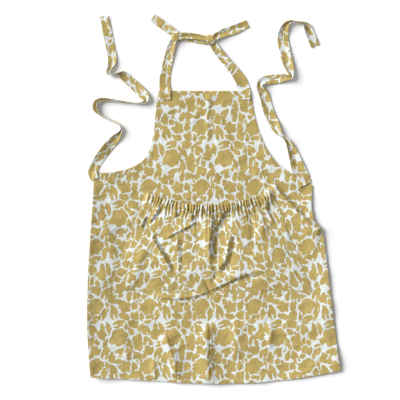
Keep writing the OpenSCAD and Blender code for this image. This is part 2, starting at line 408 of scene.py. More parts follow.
def scattered(low, high, pitch):
    """Points of a triangular grid that covers a rectangle."""
    height = 0.866  # of a triangle with sides of 1
    rows = int((high[1] - low[1]) / (pitch * height)) + 1
    columns = int((high[0] - low[0]) / pitch) + 1
    r, c = np.mgrid[0:rows, 0:columns]
    x = low[0] + (c + 0.5 * (r % 2)) * pitch
    y = low[1] + r * pitch * height
    return np.stack([x.ravel(), y.ravel()], axis=1)


# ---- materials
class Shader:
    """Short names for the nodes that a material is made of."""

    def __init__(self, name):
        self.material = bpy.data.materials.new(name)
        self.material.use_nodes = True
        self.tree = self.material.node_tree
        self.surface = self.tree.nodes["Principled BSDF"]

    def put(self, kind, inputs=(), output=0, **settings):
        node = self.tree.nodes.new("ShaderNode" + kind)
        for key, value in settings.items():
            setattr(node, key, value)
        for socket, value in dict(inputs).items():
            if isinstance(value, bpy.types.NodeSocket):
                self.tree.links.new(value, node.inputs[socket])
            else:
                node.inputs[socket].default_value = value
        return node.outputs[output]

    def maths(self, operation, *values):
        return self.put("Math", enumerate(values), operation=operation)

    def vector(self, operation, *values, output="Vector"):
        return self.put("VectorMath", enumerate(values), output, operation=operation)

    def noise(self, place, scale, detail=2.0, output="Fac"):
        return self.put(
            "TexNoise", {"Vector": place, "Scale": scale, "Detail": detail}, output)

    def span(self, value, low, high, to_low, to_high):
        return self.put("MapRange", {
            "Value": value, "From Min": low, "From Max": high,
            "To Min": to_low, "To Max": to_high})

    def mix(self, share, a, b):
        colour_sockets = {0: share, 6: a, 7: b}
        return self.put("Mix", colour_sockets, 2, data_type="RGBA")

    def finish(self, **sockets):
        for socket, value in sockets.items():
            socket = self.surface.inputs[socket.replace("_", " ")]
            if isinstance(value, bpy.types.NodeSocket):
                self.tree.links.new(value, socket)
            else:
                socket.default_value = value
        return self.material


# The print repeats over this width and length of cloth
TILE = (153, 173)
# Least and most gap between two shapes. The gap wanders over the cloth, and
# where it is below zero the shapes run together.
PRINT_GAP = (-1.6, 6.4)
GAP_RUN = 17  # over how much cloth the gap wanders
PRINT_SPREAD = 1.8  # how far the dye spreads past the edge of a shape
# How fast a leaf's slit widens, and half its width at its inner end
SLIT_SLOPE, SLIT_END = 0.13, 0.9
SQUARE = 0.55  # how square a pebble is, from 0, which is round, to 1


class Print:
    """Adds one cut-out shape of the print after another. Where two shapes
    meet, the ground shows between them as a line of uneven width. It keeps
    how deep each place is in the shape that it is deepest in, and in the one
    after that."""

    def __init__(self, shader, place):
        self.shader = shader
        self.place = place
        self.best = self.second = -50.0  # far outside every shape

    def local(self, x, y, turn):
        """Places seen from a shape's middle, in every repeat of the print."""
        s = self.shader
        half = (TILE[0] / 2, TILE[1] / 2, 50)
        moved = s.vector("SUBTRACT", self.place, (x, y, 0))
        wrapped = s.vector("WRAP", moved, half, tuple(-h for h in half))
        return s.put("VectorRotate", {"Vector": wrapped, "Angle": math.radians(turn)},
                     rotation_type="Z_AXIS")

    def add(self, depth, joined=False):
        """Adds a shape. A joined one has no line between it and the others."""
        s = self.shader
        depth = s.maths("ADD", depth, PRINT_SPREAD)
        if not joined:
            lower = s.maths("MINIMUM", self.best, depth)
            self.second = s.maths("MAXIMUM", self.second, lower)
        self.best = s.maths("MAXIMUM", self.best, depth)

    def blossom(self, x, y, turn, radius, petals, scallop):
        s = self.shader
        p = self.local(x, y, turn)
        reach = s.vector("LENGTH", p, output="Value")
        apart = s.put("SeparateXYZ", {0: p})
        angle = s.maths("ARCTAN2", apart.node.outputs[1], apart)
        lobe = s.maths("ABSOLUTE", s.maths("SINE", s.maths("MULTIPLY", angle, petals / 2)))
        edge = s.maths("MULTIPLY_ADD", lobe, radius * scallop, radius * (1 - scallop))
        self.add(s.maths("SUBTRACT", edge, reach))

    def leaf(self, x, y, turn, half_length, half_width, split=0.0, joined=False):
        s = self.shader
        apart = s.put("SeparateXYZ", {0: self.local(x, y, turn)})
        across_it = s.maths("ABSOLUTE", apart)
        along_it = apart.node.outputs[1]
        radius = (half_length**2 + half_width**2) / (2 * half_width)
        moved = s.maths("ADD", across_it, radius - half_width)
        reach = s.put("CombineXYZ", {0: moved, 1: along_it})
        reach = s.vector("LENGTH", reach, output="Value")
        depth = s.maths("SUBTRACT", radius, reach)
        if split:
            above = s.maths("SUBTRACT", half_length * (1 - 2 * split), along_it)
            wedge = s.maths("MULTIPLY_ADD", above, SLIT_SLOPE, PRINT_SPREAD + SLIT_END)
            slit = s.maths("SUBTRACT", across_it, wedge)
            depth = s.maths("MINIMUM", depth, s.maths(
                "MAXIMUM", slit, s.maths("MULTIPLY", above, -1.0)))
        self.add(depth, joined)

    def pebble(self, x, y, turn, half_width, half_length):
        s = self.shader
        p = self.local(x, y, turn)
        p = s.vector("DIVIDE", p, (half_width, half_length, 1))
        p = s.vector("ABSOLUTE", p)
        apart = s.put("SeparateXYZ", {0: p})
        widest = s.maths("MAXIMUM", apart, apart.node.outputs[1])
        reach = s.vector("LENGTH", p, output="Value")
        mean = s.maths("ADD", s.maths("MULTIPLY", widest, SQUARE),
                       s.maths("MULTIPLY", reach, 1 - SQUARE))
        depth = s.maths("SUBTRACT", 1.0, mean)
        self.add(s.maths("MULTIPLY", depth, min(half_width, half_length)))

    def ink(self):
        """1 where the cloth is dyed, 0 where its ground shows."""
        s = self.shader
        gap = s.span(s.noise(self.place, 1 / GAP_RUN, 1.0), 0.34, 0.66, *PRINT_GAP)
        apart = s.maths("SUBTRACT", s.maths("SUBTRACT", self.best, self.second), gap)
        apart = s.span(apart, -0.2, 0.2, 0.0, 1.0)
        return s.maths("MINIMUM", apart, s.span(self.best, -0.3, 0.3, 0.0, 1.0))


# Leaves of one repeat, set out one by one: x, y, turn, half their length, half
# their width, and how much of their length is split
LEAVES = [
    (34, 76, 58, 22, 11, 0.6), (84, 62, -24, 22, 12, 0.55), (145, 72, 20, 22, 11, 0.5),
    (108, 142, -34, 22, 11, 0.6), (14, 20, -18, 24, 12, 0.55), (30, 160, 70, 20, 10, 0.5),
    # Pairs of narrow leaves that meet in a V
    (108, 112, 24, 18, 6), (121, 108, -10, 18, 6), (62, 70, 12, 19, 7), (50, 82, 44, 17, 6),
    (142, 18, 16, 22, 7), (151, 34, -16, 18, 6),
    # Single leaves and petals between them
    (68, 136, -52, 18, 7), (62, 100, -18, 20, 8), (148, 104, 30, 15, 7),
    (29, 52, -48, 14, 7), (76, 38, 10, 19, 8), (101, 66, 64, 13, 6), (96, 10, -14, 15, 7),
    (120, 4, 74, 17, 8), (48, 8, -70, 17, 8), (112, 168, 60, 14, 7), (0, 146, -14, 18, 8),
    (92, 146, 20, 13, 6), (52, 153, -10, 12, 5),
]


def draw_print(shader, place):
    """The shapes of one repeat, set out one by one over the tile."""
    cut = Print(shader, place)
    # Blooms with scalloped edges, some with a leaf that grows out of them
    cut.blossom(33, 122, 10, 26, 6, 0.20)
    cut.leaf(10, 112, 64, 21, 9, joined=True)
    cut.blossom(112, 34, 30, 23, 7, 0.26)
    cut.leaf(128, 48, -52, 18, 8, joined=True)
    cut.blossom(48, 36, 0, 18, 5, 0.32)
    cut.blossom(133, 128, 24, 16, 5, 0.34)
    cut.leaf(139, 146, -18, 16, 7, joined=True)
    # Tall seed heads and squarish buds
    cut.pebble(86, 108, -10, 13, 26)
    cut.pebble(116, 84, 12, 14, 12)
    cut.pebble(12, 62, 20, 13, 14)
    cut.pebble(78, 12, 30, 12, 13)
    cut.pebble(72, 160, 8, 14, 11)
    for leaf in LEAVES:
        cut.leaf(*leaf)
    return cut.ink()


def weave(shader, place, width):
    """The bumps of a plain weave: threads over and under each other."""
    apart = shader.put("SeparateXYZ", {0: place})
    turn = math.pi / width
    warp = shader.maths("SINE", shader.maths("MULTIPLY", apart, turn))
    weft = shader.maths("SINE", shader.maths("MULTIPLY", apart.node.outputs[1], turn))
    return shader.maths("MULTIPLY", warp, weft)


def crumple(shader, place):
    """Soft dents, with thin pressed creases between them."""
    stretched = shader.vector("MULTIPLY", place, (0.7, 1.0, 0))
    soft = shader.noise(stretched, 1 / 24, 2.0)
    crease = shader.noise(stretched, 1 / 60, 2.0)
    crease = shader.maths("ABSOLUTE", shader.maths("SUBTRACT", crease, 0.5))
    crease = shader.span(crease, 0.0, 0.035, 0.22, 0.0)
    return shader.maths("ADD", soft, crease)


THREAD_WIDTH = 0.55  # of the weave
THREAD_DEPTH = 0.00012  # metres
DENT_DEPTH = 0.0030  # metres
PRINT_WANDER = (5, 5, 0)  # how far the shapes' cut edges wander
OCHRE = (0.488, 0.367, 0.113, 1)
DEEP_OCHRE = (0.395, 0.292, 0.085, 1)
PALE_OCHRE = (0.59, 0.462, 0.177, 1)
GROUND = (0.68, 0.725, 0.71, 1)
PALE_GROUND = (0.75, 0.79, 0.77, 1)


def printed_cotton():
    """Cotton with ochre cut-out flowers and leaves on an off-white ground."""
    s = Shader("printed_cotton")
    flat = s.put("UVMap", uv_map="cloth")
    place = s.vector("MULTIPLY", flat, (1 / MM, 1 / MM, 0))
    wander = s.vector("SUBTRACT", s.noise(place, 0.055, 2.0, "Color"), (0.5, 0.5, 0.5))
    cut_edge = s.vector("MULTIPLY_ADD", wander, PRINT_WANDER, place)
    ink = draw_print(s, cut_edge)
    blotch = s.noise(place, 0.03, 3.0)
    dye = s.mix(s.span(blotch, 0.35, 0.65, 0.0, 1.0), DEEP_OCHRE, OCHRE)
    slub = s.noise(s.vector("MULTIPLY", place, (1.0, 0.12, 0)), 1.3, 2.0)
    dye = s.mix(s.span(slub, 0.3, 0.7, 0.0, 0.3), dye, PALE_OCHRE)
    dry = s.noise(place, 0.8, 5.0)
    dye = s.mix(s.span(dry, 0.42, 0.72, 0.0, 0.35), dye, PALE_OCHRE)
    ground = s.mix(s.span(slub, 0.3, 0.7, 0.0, 1.0), GROUND, PALE_GROUND)
    colour = s.mix(ink, ground, dye)
    threads = weave(s, place, THREAD_WIDTH)
    height = s.maths("ADD", threads, s.maths("MULTIPLY", slub, 2.0))
    dents = s.put("Bump", {"Height": crumple(s, place), "Distance": DENT_DEPTH})
    bump = s.put("Bump", {
        "Height": height, "Strength": 0.5, "Distance": THREAD_DEPTH, "Normal": dents})
    rough = s.span(slub, 0.3, 0.7, 0.78, 0.92)
    return s.finish(
        Base_Color=colour, Roughness=rough, Normal=bump,
        Sheen_Weight=0.15, Sheen_Roughness=0.5, Specular_IOR_Level=0.25)


def sewing_thread():
    """Twisted cotton thread."""
    s = Shader("sewing_thread")
    place = s.put("TexCoord", output="Object")
    twist = s.put("TexWave", {"Vector": place, "Scale": 900.0, "Distortion": 1.0})
    # painted shade: the thread's colour is darker where the twist is low, in the grooves between
    # its plies, and paler on their ridges
    colour = s.mix(twist, (0.50, 0.42, 0.22, 1), (0.66, 0.58, 0.36, 1))
    bump = s.put("Bump", {"Height": twist, "Strength": 0.4, "Distance": 0.0001})
    rough = s.span(twist, 0.0, 1.0, 0.6, 0.75)
    return s.finish(Base_Color=colour, Roughness=rough, Normal=bump)


def woven_elastic():
    """Knitted elastic with ribs across it."""
    s = Shader("woven_elastic")
    flat = s.put("UVMap", uv_map="cloth")
    ribs = s.put("TexWave", {"Vector": flat, "Scale": 180.0, "Distortion": 0.4})
    # painted shade: the elastic's colour is darker where the ribs are low, in the grooves
    # between them, and paler on their tops
    colour = s.mix(ribs, (0.60, 0.58, 0.50, 1), (0.80, 0.78, 0.70, 1))
    bump = s.put("Bump", {"Height": ribs, "Strength": 0.6, "Distance": 0.0003})
    rough = s.span(ribs, 0.0, 1.0, 0.55, 0.8)
    return s.finish(Base_Color=colour, Roughness=rough, Normal=bump)


printed = printed_cotton()
thread = sewing_thread()
elastic = woven_elastic()


# ---- the body
# The body's mesh is fine up to RIM from its edge and BAND from a sharp fold
FINE, WIDE = 2.4, 4.0
RIM, BAND = 24, 16
EDGE_CLEAR, FOLD_CLEAR = 1.4, 3.6  # its other inner points are no nearer
FOLD_ROWS = (-2.8, -1.6, -0.8, 0, 0.8, 1.6, 2.8)  # a sharp fold's own points


def body_points(edge):
    """Points for the inside of the body's mesh, in three groups."""
    creases = [DRAG_FOLD, UNDER_SAG] + [row[0] for row in SKIRT_TUCKS]
    creases = [through(line, 2) for line in creases]
    groups = []
    for pitch in (FINE, WIDE):
        points = scattered(outline.min(0), outline.max(0), pitch)
        gap = to_path(points, edge)[0]
        fold_gap = np.min([to_path(points, crease)[0] for crease in creases], axis=0)
        near = (gap < RIM) | (fold_gap < BAND)
        clear = (gap > EDGE_CLEAR) & (fold_gap > FOLD_CLEAR)
        groups.append(points[near & clear if pitch == FINE else ~near])
    rows = np.concatenate([
        crease + across(crease) * offset for crease in creases for offset in FOLD_ROWS])
    return groups + [rows[to_path(rows, edge)[0] > EDGE_CLEAR]]


def body_cloth():
    """The bib and skirt, one piece of cloth."""
    loop = even(closed_outline, FINE)[:-1]
    edge = even(closed_outline, 8)
    inner = [points[inside(points, loop)] for points in body_points(edge)]
    flat, faces = fill(loop, np.concatenate(inner))
    gap = to_path(flat, edge)[0]
    z = drape(flat)
    z += 0.35 * np.exp(-(((gap - 5) / 3.5) ** 2))  # the hem's thickness shows through
    z += waves(flat, 21, 8, 14, 0.22) * np.exp(-gap / 12)  # puckers along its stitches
    made = piece("body_cloth", np.column_stack([flat, z]), faces, flat, printed)
    return thicken(made, CLOTH)


body = body_cloth()
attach(body, "apron")
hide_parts("body_panel")


# ---- strips on the body
STRIP_CUT = (31, 47)  # how far from its own place on the print a strip is cut


def part_of(path, begin, end):
    """A path's stretch from one share of its length to another."""
    path = even(path, 3)
    last = len(path) - 1
    return path[round(begin * last):round(end * last) + 1]


def lying_strip(node, path, width, level, thickness, inset=0.3):
    """A strip to the right of a path that lies a level above or below the
    body's upper face, in place of a node of the CAD model."""
    path = even(path, 4)
    normal = across(path)
    offsets = inset + (width - inset) * np.linspace(0, 1, 6)
    rows = [path - normal * offset for offset in offsets]
    flat = np.stack(rows, axis=1).reshape(-1, 2)
    points = np.column_stack([flat, drape(flat) + level])
    faces = grid_faces(len(path), len(offsets))
    made = piece(node + "_cloth", points, faces, flat + STRIP_CUT, printed)
    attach(made, "apron")
    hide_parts(node)
    return thicken(made, thickness)


UNDER = -CLOTH - 0.05  # the level just below the body's cloth
HEMS = [
    ("left_armhole_hem", part_of(left_armhole, 0.04, 1), SIDE_HEM_WIDTH),
    ("right_armhole_hem", part_of(right_armhole, 0, 0.97), SIDE_HEM_WIDTH),
    ("left_side_hem", part_of(left_side, 0.05, 0.97), SIDE_HEM_WIDTH),
    ("right_side_hem", part_of(right_side, 0.02, 0.95), SIDE_HEM_WIDTH),
    ("bottom_hem", part_of(bottom, 0.0, 1.0), BOTTOM_HEM_WIDTH),
    ("bib_facing", bib_top + [(SIDE_HEM_WIDTH + 1, 0), (-SIDE_HEM_WIDTH - 1, 0)], FACING_WIDTH),
]
hems = [lying_strip(*row, UNDER, HEM - 0.1) for row in HEMS]

# ---- the pocket
chord = np.subtract(MOUTH_RIGHT, MOUTH_LEFT)
chord_length = math.hypot(*chord)
MOUTH_RADIUS = (chord_length**2 / 4 + MOUTH_SAG**2) / (2 * MOUTH_SAG)
mouth_turn = math.atan2(chord[1], chord[0])
mouth_half = math.asin(chord_length / 2 / MOUTH_RADIUS)
MOUTH_REACH = mouth_half * MOUTH_RADIUS  # half the length of the mouth's curve
mouth_centre = np.add(MOUTH_LEFT, MOUTH_RIGHT) / 2 + (MOUTH_RADIUS - MOUTH_SAG) * np.array(
    [-math.sin(mouth_turn), math.cos(mouth_turn)])

# Folds of the pocket: line, width and height
POCKET_FOLDS = [
    ([(-22, -30), (-24, -90), (-18, -170)], 8, 2.5),
    ([(-4, -190), (8, -214), (-6, -244)], 7, -3.8),
    ([(100, -30), (112, -80), (110, -130)], 9, -3.4),
    ([(128, -20), (140, -70), (138, -120)], 10, 3.0),
    ([(40, -236), (100, -226), (160, -214)], 8, -3.4),
    ([(-190, -130), (-214, -170), (-222, -220)], 14, 4.0),
]
# Sharp crests of the pocket: line, height, dip, run and back
POCKET_CRESTS = [
    ([(-6, -30), (-9, -88), (-15, -142), (-8, -190)], 6.5, 9.0, 20, 15),
    ([(-187, -98), (-162, -139), (-139, -177), (-120, -216)], 5.5, 7.0, 12, 12),
    ([(-106, -104), (-104, -150), (-103, -190), (-99, -218)], 2.6, 3.0, 13, 20),
    ([(46, -96), (36, -160), (24, -186), (2, -206)], 4.0, 6.5, 15, 18),
    ([(54, -10), (30, -29), (18, -49), (7, -84)], 7.0, 9.0, 11, 8),
    ([(-107, -6), (-109, -28), (-112, -54)], 4.5, 6.0, 7, 7),
    ([(-80, -8), (-70, -29), (-61, -66)], 4.0, 4.0, 5, 8),
    ([(-152, -12), (-173, -44), (-190, -66)], 4.5, 4.5, 7, 8),
    ([(-198, -44), (-204, -60), (-212, -80)], 3.5, 4.5, 8, 8),
    ([(146, -2), (150, -24), (160, -48), (178, -68)], 5.0, 5.5, 12, 8),
    ([(203, -76), (222, -102), (240, -135), (256, -168)], 4.0, 3.5, 6, 10),
]
# Where the bag of the pocket hangs low at its bottom: its line and shape
POCKET_SAG = [(120, -208), (84, -218), (47, -234), (14, -250), (-12, -263)]
SAG_SHAPE = (6.0, 2.0, 8, 30, 0.4, 0.04)
# The sharp crease at the left of the pocket's middle, with its cloth on top:
# its line, then its height, run, fade and sharpness
POCKET_CREASE = [(-140, -114), (-113, -97), (-92, -87), (-69, -75), (-46, -58)]
CREASE_SHAPE = (5.5, 30, 0.2, 0.9)
# Waves of the pocket's cloth: seed, count, length and height
POCKET_WAVES = [(31, 9, 95, 0.9), (35, 9, 40, 0.35)]
SPLIT = 0.045  # share of the mouth where the two halves meet, in the deep fold
POCKET_SWELL = 9.5  # how high the pocket stands off the body
POCKET_HEIGHT = 290  # its flat cloth, from the mouth to the bottom seam
POCKET_HALF = 292  # half the width of its flat cloth
POCKET_CUT = (40, 103)  # where it is cut from the print
POCKET_FLARE = 112  # how much wider each half is at its bottom than at its mouth
CASING_RISE = 2.8  # how far the casing's front stands off the cloth behind it
SEAM_RISE = 0.15  # how far the pocket's cloth stands off the body at its seams


def on_mouth(radius, share):
    angle = -math.pi / 2 + mouth_turn + mouth_half * np.asarray(share, float)
    return mouth_centre + radius * np.stack([np.cos(angle), np.sin(angle)], axis=-1)


def pleats():
    """Where the mouth's gathers are: place along the mouth, width, height,
    length down the pocket and slant."""
    rng = random.Random(12)
    place = -MOUTH_REACH + 3
    found = []
    while place < MOUTH_REACH - 2:
        long_one = rng.random() < 0.25
        found.append((
            place, rng.uniform(2.0, 3.4), rng.uniform(1.0, 3.4),
            rng.uniform(45, 80) if long_one else rng.uniform(12, 30),
            rng.uniform(-0.06, 0.06)))
        place += rng.uniform(7.0, 15.0)
    return found


PLEATS = pleats()


def ruches(place, depth):
    """Rounded lobes with sharp valleys between them, where the elastic draws
    the mouth together."""
    rng = random.Random(17)
    valleys, heights = [-MOUTH_REACH - 6], []
    while valleys[-1] < MOUTH_REACH + 6:
        valleys.append(valleys[-1] + rng.uniform(6.0, 12.0))
        heights.append(rng.uniform(4.2, 7.2))
    index = np.interp(place, valleys, np.arange(len(valleys)))
    lobe = np.abs(np.sin(math.pi * index)) ** 0.65
    height = np.array(heights + heights[-1:])[np.floor(index).astype(int)]
    below = np.maximum(depth - CASING, 0)
    return lobe * height * np.exp(-((below / 15) ** 0.8))


def gathers(share, depth):
    """Height of the gathers at a place on the pocket."""
    place = share * MOUTH_REACH
    drift = 1.5 * np.sin(depth / 9 + place / 17)
    z = ruches(place + drift, depth)
    for centre, width, height, length, slant in PLEATS:
        off = (place - centre - slant * np.maximum(depth - CASING, 0)) / width
        z += height * np.exp(-(off**2)) * np.exp(-np.maximum(depth - CASING, 0) / length)
    return z


def pocket_point(share, depth, level, down):
    """A point of the pocket: share runs -1 to 1 along the mouth, depth is how
    far below the mouth's edge it is in the casing, and down is the share of
    the rest of the way to the bottom seam. Also how much of the flat cloth is
    left below it."""
    top = on_mouth(MOUTH_RADIUS, share)
    low = np.array(POCKET_LOW_LEFT) + (share[:, None] + 1) / 2 * np.subtract(
        POCKET_LOW_RIGHT, POCKET_LOW_LEFT)
    run = low - top
    length = np.linalg.norm(run, axis=1)
    fallen = depth + down * (length - CASING - 0.5)
    flat = top + run * (fallen / length)[:, None]
    side = (1 - np.abs(share)) * (chord_length / 2 + POCKET_FLARE * fallen / length)
    left = length - fallen
    swell = POCKET_SWELL * (1 - np.exp(-side / 28)) * (1 - np.exp(-((left / 36) ** 1.3)))
    swell *= 0.72 + 0.28 * np.cos(share * 2.2)
    rim = np.minimum(side, left)
    edge = smooth(side, 0, 10) * smooth(left, 0, 5)
    folds = sum(waves(flat, *row) for row in POCKET_WAVES)
    for row in POCKET_FOLDS:
        folds += fold(flat, *row)
    for row in POCKET_CRESTS:
        folds += crest(flat, *row)
    folds += step(flat, POCKET_CREASE, *CREASE_SHAPE)
    folds += crest(flat, POCKET_SAG, *SAG_SHAPE)
    fade = smooth(fallen, 12, 40)
    z = swell + edge * (folds * fade + gathers(share, fallen))
    z = np.logaddexp(0, z * 1.2) / 1.2 - math.log(2) / 1.2  # hardly below zero
    stitched = np.exp(-(((fallen - CASING) / 1.8) ** 2)) * smooth(side, 0, 8)
    z = z + level - 1.3 * stitched * (down >= 0) * (level > 2)
    height = drape(flat) + SEAM_RISE + CLOTH * smooth(rim, 0, 3) + z
    return np.column_stack([flat, height]), POCKET_HEIGHT * left / length


def pocket_rows():
    """Rows of the pocket's cloth, from the casing's loose edge, up behind the
    mouth, over it and down the front: depth, level, down, cloth folded under."""
    rows = [(16.5, 0.2, 0, 16.5), (12, 0.0, 0, 12), (7, 0.0, 0, 7), (3, 0.1, 0, 3),
            (1, 0.4, 0, 1), (0, 1.0, 0, 0), (-0.4, 1.6, 0, 0), (0, 2.3, 0, 0)]
    rows += [(depth, CASING_RISE, 0, 0) for depth in np.linspace(1.2, CASING - 0.6, 12)]
    for down in np.linspace(0, 1, 150):
        level = CASING_RISE * max(0.0, 1 - down * 7) ** 1.5
        rows.append((CASING, level, down, 0))
    return rows


BLEND_RUN = 165  # how far in from its side seam the line that half_blend works out reaches
BLEND_LEVEL = 2.1  # about the height of the cloth there


def half_blend(made, left_half):
    """Works out a line in from the pocket's side seam, then bakes the half's transform into its
    mesh.
    """
    low, mouth = ((POCKET_LOW_LEFT, MOUTH_LEFT) if left_half
                  else (POCKET_LOW_RIGHT, MOUTH_RIGHT))
    run = np.subtract(mouth, low) / math.dist(mouth, low)
    inward = np.array([run[1], -run[0]]) * (1 if left_half else -1)
    start = placed([(*low, BLEND_LEVEL)])[0]
    end = placed([(*(np.array(low) + BLEND_RUN * inward), BLEND_LEVEL)])[0]
    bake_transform(made)


def pocket_half(name, low, high):
    """Half of the pocket, between two shares of its mouth."""
    shares = np.linspace(low, high, 170)
    rows = np.array(pocket_rows())
    depth, level, down, under = (np.repeat(column, len(shares)) for column in rows.T)
    share = np.tile(shares, len(rows))
    taper = smooth(1 - np.abs(share), 0, 0.04)
    points, left = pocket_point(share, depth, level * (0.35 + 0.65 * taper), down)
    cloth_map = np.column_stack([share * POCKET_HALF, left + 2 * under]) + POCKET_CUT
    faces = [face[::-1] for face in grid_faces(len(rows), len(shares))]
    made = piece(name, points, faces, cloth_map, printed)
    thicken(made, CLOTH)
    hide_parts("pocket_panel", "pocket_mouth_casing")
    half_blend(made, low < 0)
    return made


pocket_left = pocket_half("pocket_left_half", -1, SPLIT)
pocket_right = pocket_half("pocket_right_half", SPLIT, 1)


ELASTIC = 0.7  # thickness of the elastic
ELASTIC_ROWS = np.linspace(3.5, 13.5, 5)  # how far below the mouth it runs


def elastic_half(name, low, high):
    """The flat elastic inside the casing, under half of the mouth."""
    shares = np.linspace(low, high, 90)
    points, cloth_map = [], []
    for across_it in ELASTIC_ROWS:
        full = np.full(len(shares), 1.0)
        row, _ = pocket_point(shares, across_it * full, 1.7 * full, 0 * full)
        row[:, 2] -= 0.5 * gathers(shares, across_it * full)
        points.append(row)
        cloth_map.append(np.column_stack([shares * MOUTH_REACH, full * across_it]))
    faces = [face[::-1] for face in grid_faces(len(ELASTIC_ROWS), len(shares))]
    made = piece(name, np.concatenate(points), faces, np.concatenate(cloth_map), elastic)
    thicken(made, ELASTIC)
    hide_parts("pocket_elastic")
    half_blend(made, low < 0)
    return made


elastic_left = elastic_half("elastic_left_half", -0.97, SPLIT)
elastic_right = elastic_half("elastic_right_half", SPLIT, 0.97)

# The pocket's seams, each with the edge that is turned under along it
POCKET_SEAMS = [
    ("pocket_left_edge", [POCKET_LOW_LEFT, MOUTH_LEFT]),
    ("pocket_right_edge", [MOUTH_RIGHT, POCKET_LOW_RIGHT]),
    ("pocket_bottom_edge", [POCKET_LOW_RIGHT, POCKET_LOW_LEFT]),
]
EDGE_WIDTH = 8
EDGE_LEVEL = 0.85  # of an edge's upper face, above the body's
pocket_edges = [
    lying_strip(*row, EDGE_WIDTH, EDGE_LEVEL, CLOTH, 0.6) for row in POCKET_SEAMS]


# ---- the ties
def ground_under(points):
    """Height of what lies under a tie: the body's cloth, or the table."""
    gap = to_path(points, even(closed_outline, 6))[0]
    signed = np.where(inside(points, outline), gap, -gap)
    return drape(points) * smooth(signed, -7, 1)


def section(width, roll, crease):
    """A tie's cross-section, creased along its middle and then rolled over:
    its upper and lower faces as one closed loop of points."""
    s = np.linspace(-width / 2, width / 2, 11)
    crease = math.radians(crease)
    u = s * math.cos(crease)
    v = (np.sqrt(s**2 + 4) - 2) * math.sin(crease) + 0.5 * (2 * s / width) ** 2
    run = np.gradient(np.stack([u, v]), axis=1)
    run /= np.linalg.norm(run, axis=0)
    half = TIE / 2 * (1 - 0.45 * np.abs(2 * s / width) ** 8)
    upper = np.stack([u - run[1] * half, v + run[0] * half])
    lower = np.stack([u + run[1] * half, v - run[0] * half])
    loop = np.concatenate([upper, lower[:, ::-1]], axis=1)
    turn = math.radians(roll)
    spin = np.array([[math.cos(turn), -math.sin(turn)], [math.sin(turn), math.cos(turn)]])
    return spin @ loop, np.concatenate([s, s[::-1]])


STITCH = 2.4  # length of a stitch
STITCH_PITCH = 3.2


STITCH_LEVEL = 0.12  # how far its middle is above the cloth


def stitch_shape(length, radius=0.32):
    """One stitch along X: a slim seed shape with pointed ends."""
    rings = []
    for x, r in ((-0.36, 0.8), (0, 1), (0.36, 0.8)):
        for k in range(6):
            a = k * math.pi / 3
            rings.append((x * length, r * radius * math.cos(a), r * radius * math.sin(a)))
    points = np.array(rings + [(-length / 2, 0, -radius * 0.6), (length / 2, 0, -radius * 0.6)])
    faces = []
    for k in range(6):
        n = (k + 1) % 6
        faces += [(k, 6 + k, 6 + n, n), (6 + k, 12 + k, 12 + n, 6 + n),
                  (18, k, n), (19, 12 + n, 12 + k)]
    return points, faces


def stitches(places, runs, seed, length=STITCH):
    """Points and faces of one stitch at each place, along its run."""
    rng = random.Random(seed)
    shape, shape_faces = stitch_shape(length)
    points, faces = [], []
    for number, (place, run) in enumerate(zip(places, runs)):
        run = run / np.linalg.norm(run)
        side = np.cross((0.0, 0.0, 1.0), run)
        side = side / np.linalg.norm(side)
        run = run + side * rng.uniform(-0.06, 0.10)
        points.append(place + shape @ np.stack([run, side, np.cross(run, side)]))
        faces += [tuple(number * len(shape) + i for i in face) for face in shape_faces]
    return np.concatenate(points), faces


def tie(name, route, seed):
    """A tie: each row of its route is x, y, the gap below it, its width, how
    far it is rolled over and how sharply it is creased along its middle."""
    path = through(route, 2.6)
    normal = across(path)
    rng = random.Random(seed)
    phase = rng.uniform(0, 6)
    reach = along(path)
    flat, height, cloth_map = [], [], []
    for i, (x, y, gap, width, roll, crease) in enumerate(path):
        roll = roll + 5 * math.sin(reach[i] / 23 + phase)
        crease = crease + 6 * math.sin(reach[i] / 31 + 2 * phase)
        loop, s = section(width, roll, crease)
        flat.append(np.array([x, y]) - loop[0][:, None] * normal[i])
        height.append(loop[1] - loop[1].min() + max(gap, 0.05))
        cloth_map.append(np.column_stack([s + 13, np.full(len(s), reach[i])]))
    around = len(height[0])
    flat = np.concatenate(flat)
    points = np.column_stack([flat, ground_under(flat) + np.concatenate(height)])
    cut = (rng.uniform(0, 150), rng.uniform(0, 150))
    made = piece(name, points, tube_faces(len(path), around),
                 np.concatenate(cloth_map) + cut, printed)
    return made, reach[-1]


LEFT_WAIST_TIE = [
    (-345, 60, 0.2, 24, 0, 0), (-351, 84, 0.2, 26, -5, 4), (-333, 118, 0.6, 29, -12, 8),
    (-306, 154, 0.8, 30, -14, 10), (-285, 180, 1, 26, -14, 30), (-271, 200, 1.5, 23, -16, 68),
    (-271, 213, 1.5, 23, -8, 80), (-281, 223, 1.2, 24, 0, 83), (-298, 231, 1, 24, 0, 83),
    (-320, 240, 0.8, 24, 0, 82), (-334, 252, 0.8, 25, 10, 76), (-340, 268, 0.8, 26, 30, 62),
    (-335, 284, 0.8, 26, 20, 70), (-316, 290, 0.8, 25, 6, 81), (-246, 284, 0.8, 25, 0, 82),
    (-212, 280, 1, 25, 0, 78), (-195, 288, 2, 26, 6, 58), (-202, 304, 1.5, 28, 4, 20),
    (-232, 334, 0.6, 29, 0, 6), (-260, 359, 1, 27, 0, 18), (-278, 366, 2, 22, 10, 72),
    (-296, 363, 2, 22, 10, 78), (-304, 369, 2, 22, 20, 66), (-299, 385, 1.5, 23, 10, 40),
    (-294, 406, 0.6, 25, 0, 14), (-299, 440, 0.6, 26, 0, 6), (-307, 478, 0.6, 26, 0, 8),
    (-320, 533, 0.3, 25, 0, 4),
]
